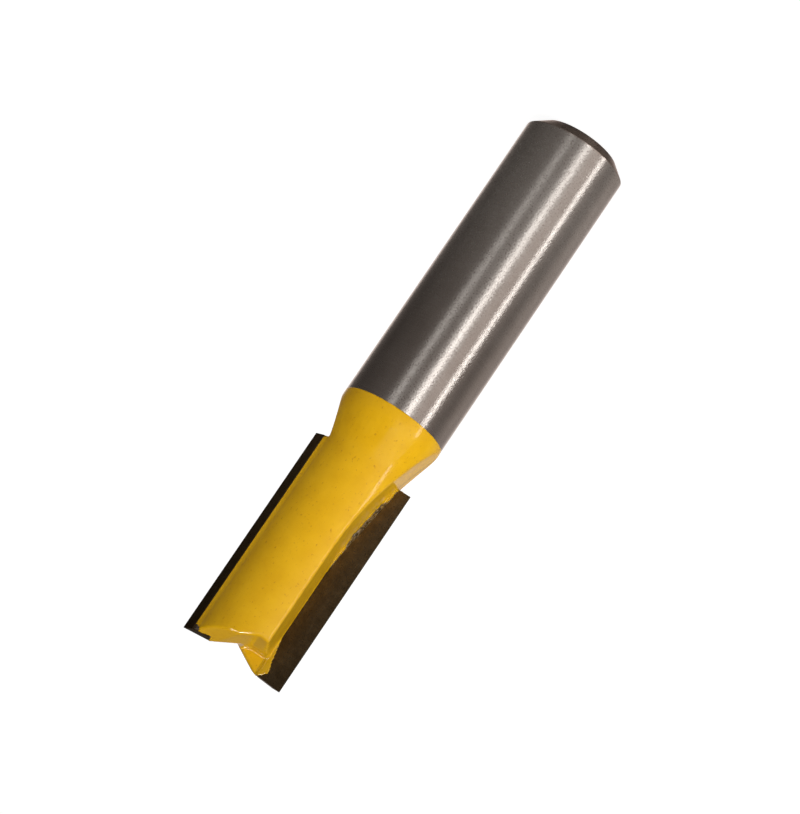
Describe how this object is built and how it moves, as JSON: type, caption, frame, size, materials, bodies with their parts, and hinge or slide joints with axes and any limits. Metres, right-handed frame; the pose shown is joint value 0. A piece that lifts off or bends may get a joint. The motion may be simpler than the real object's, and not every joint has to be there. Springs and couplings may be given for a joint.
{
  "type": "router bit",
  "caption": "Straight router bit: ground shank, enamelled neck and fluted head, brazed carbide cutting tips and a gashed plunge end.",
  "frame": {"origin": "centre of the shank's flat end face", "axes": "+Z along the bit's axis from the shank end to the cutting end; +X through the cutting edge of carbide_tip_1, whose rake face looks towards +Y"},
  "size_m": [0.012, 0.012, 0.0675],
  "materials": {
    "ground_steel": "cylindrically ground, fine circular grain, half bright",
    "carbide": "dark ground tungsten carbide, polished",
    "braze": "dull silver braze",
    "yellow_enamel": "glossy thick yellow enamel, lightly pitted"
  },
  "bodies": {
    "root": {"steel_body": "ground_steel", "carbide_tip_1": "carbide", "carbide_tip_2": "carbide", "braze_layer_1": "braze", "braze_layer_2": "braze", "enamel_coat": "yellow_enamel"}
  },
  "joints": []
}
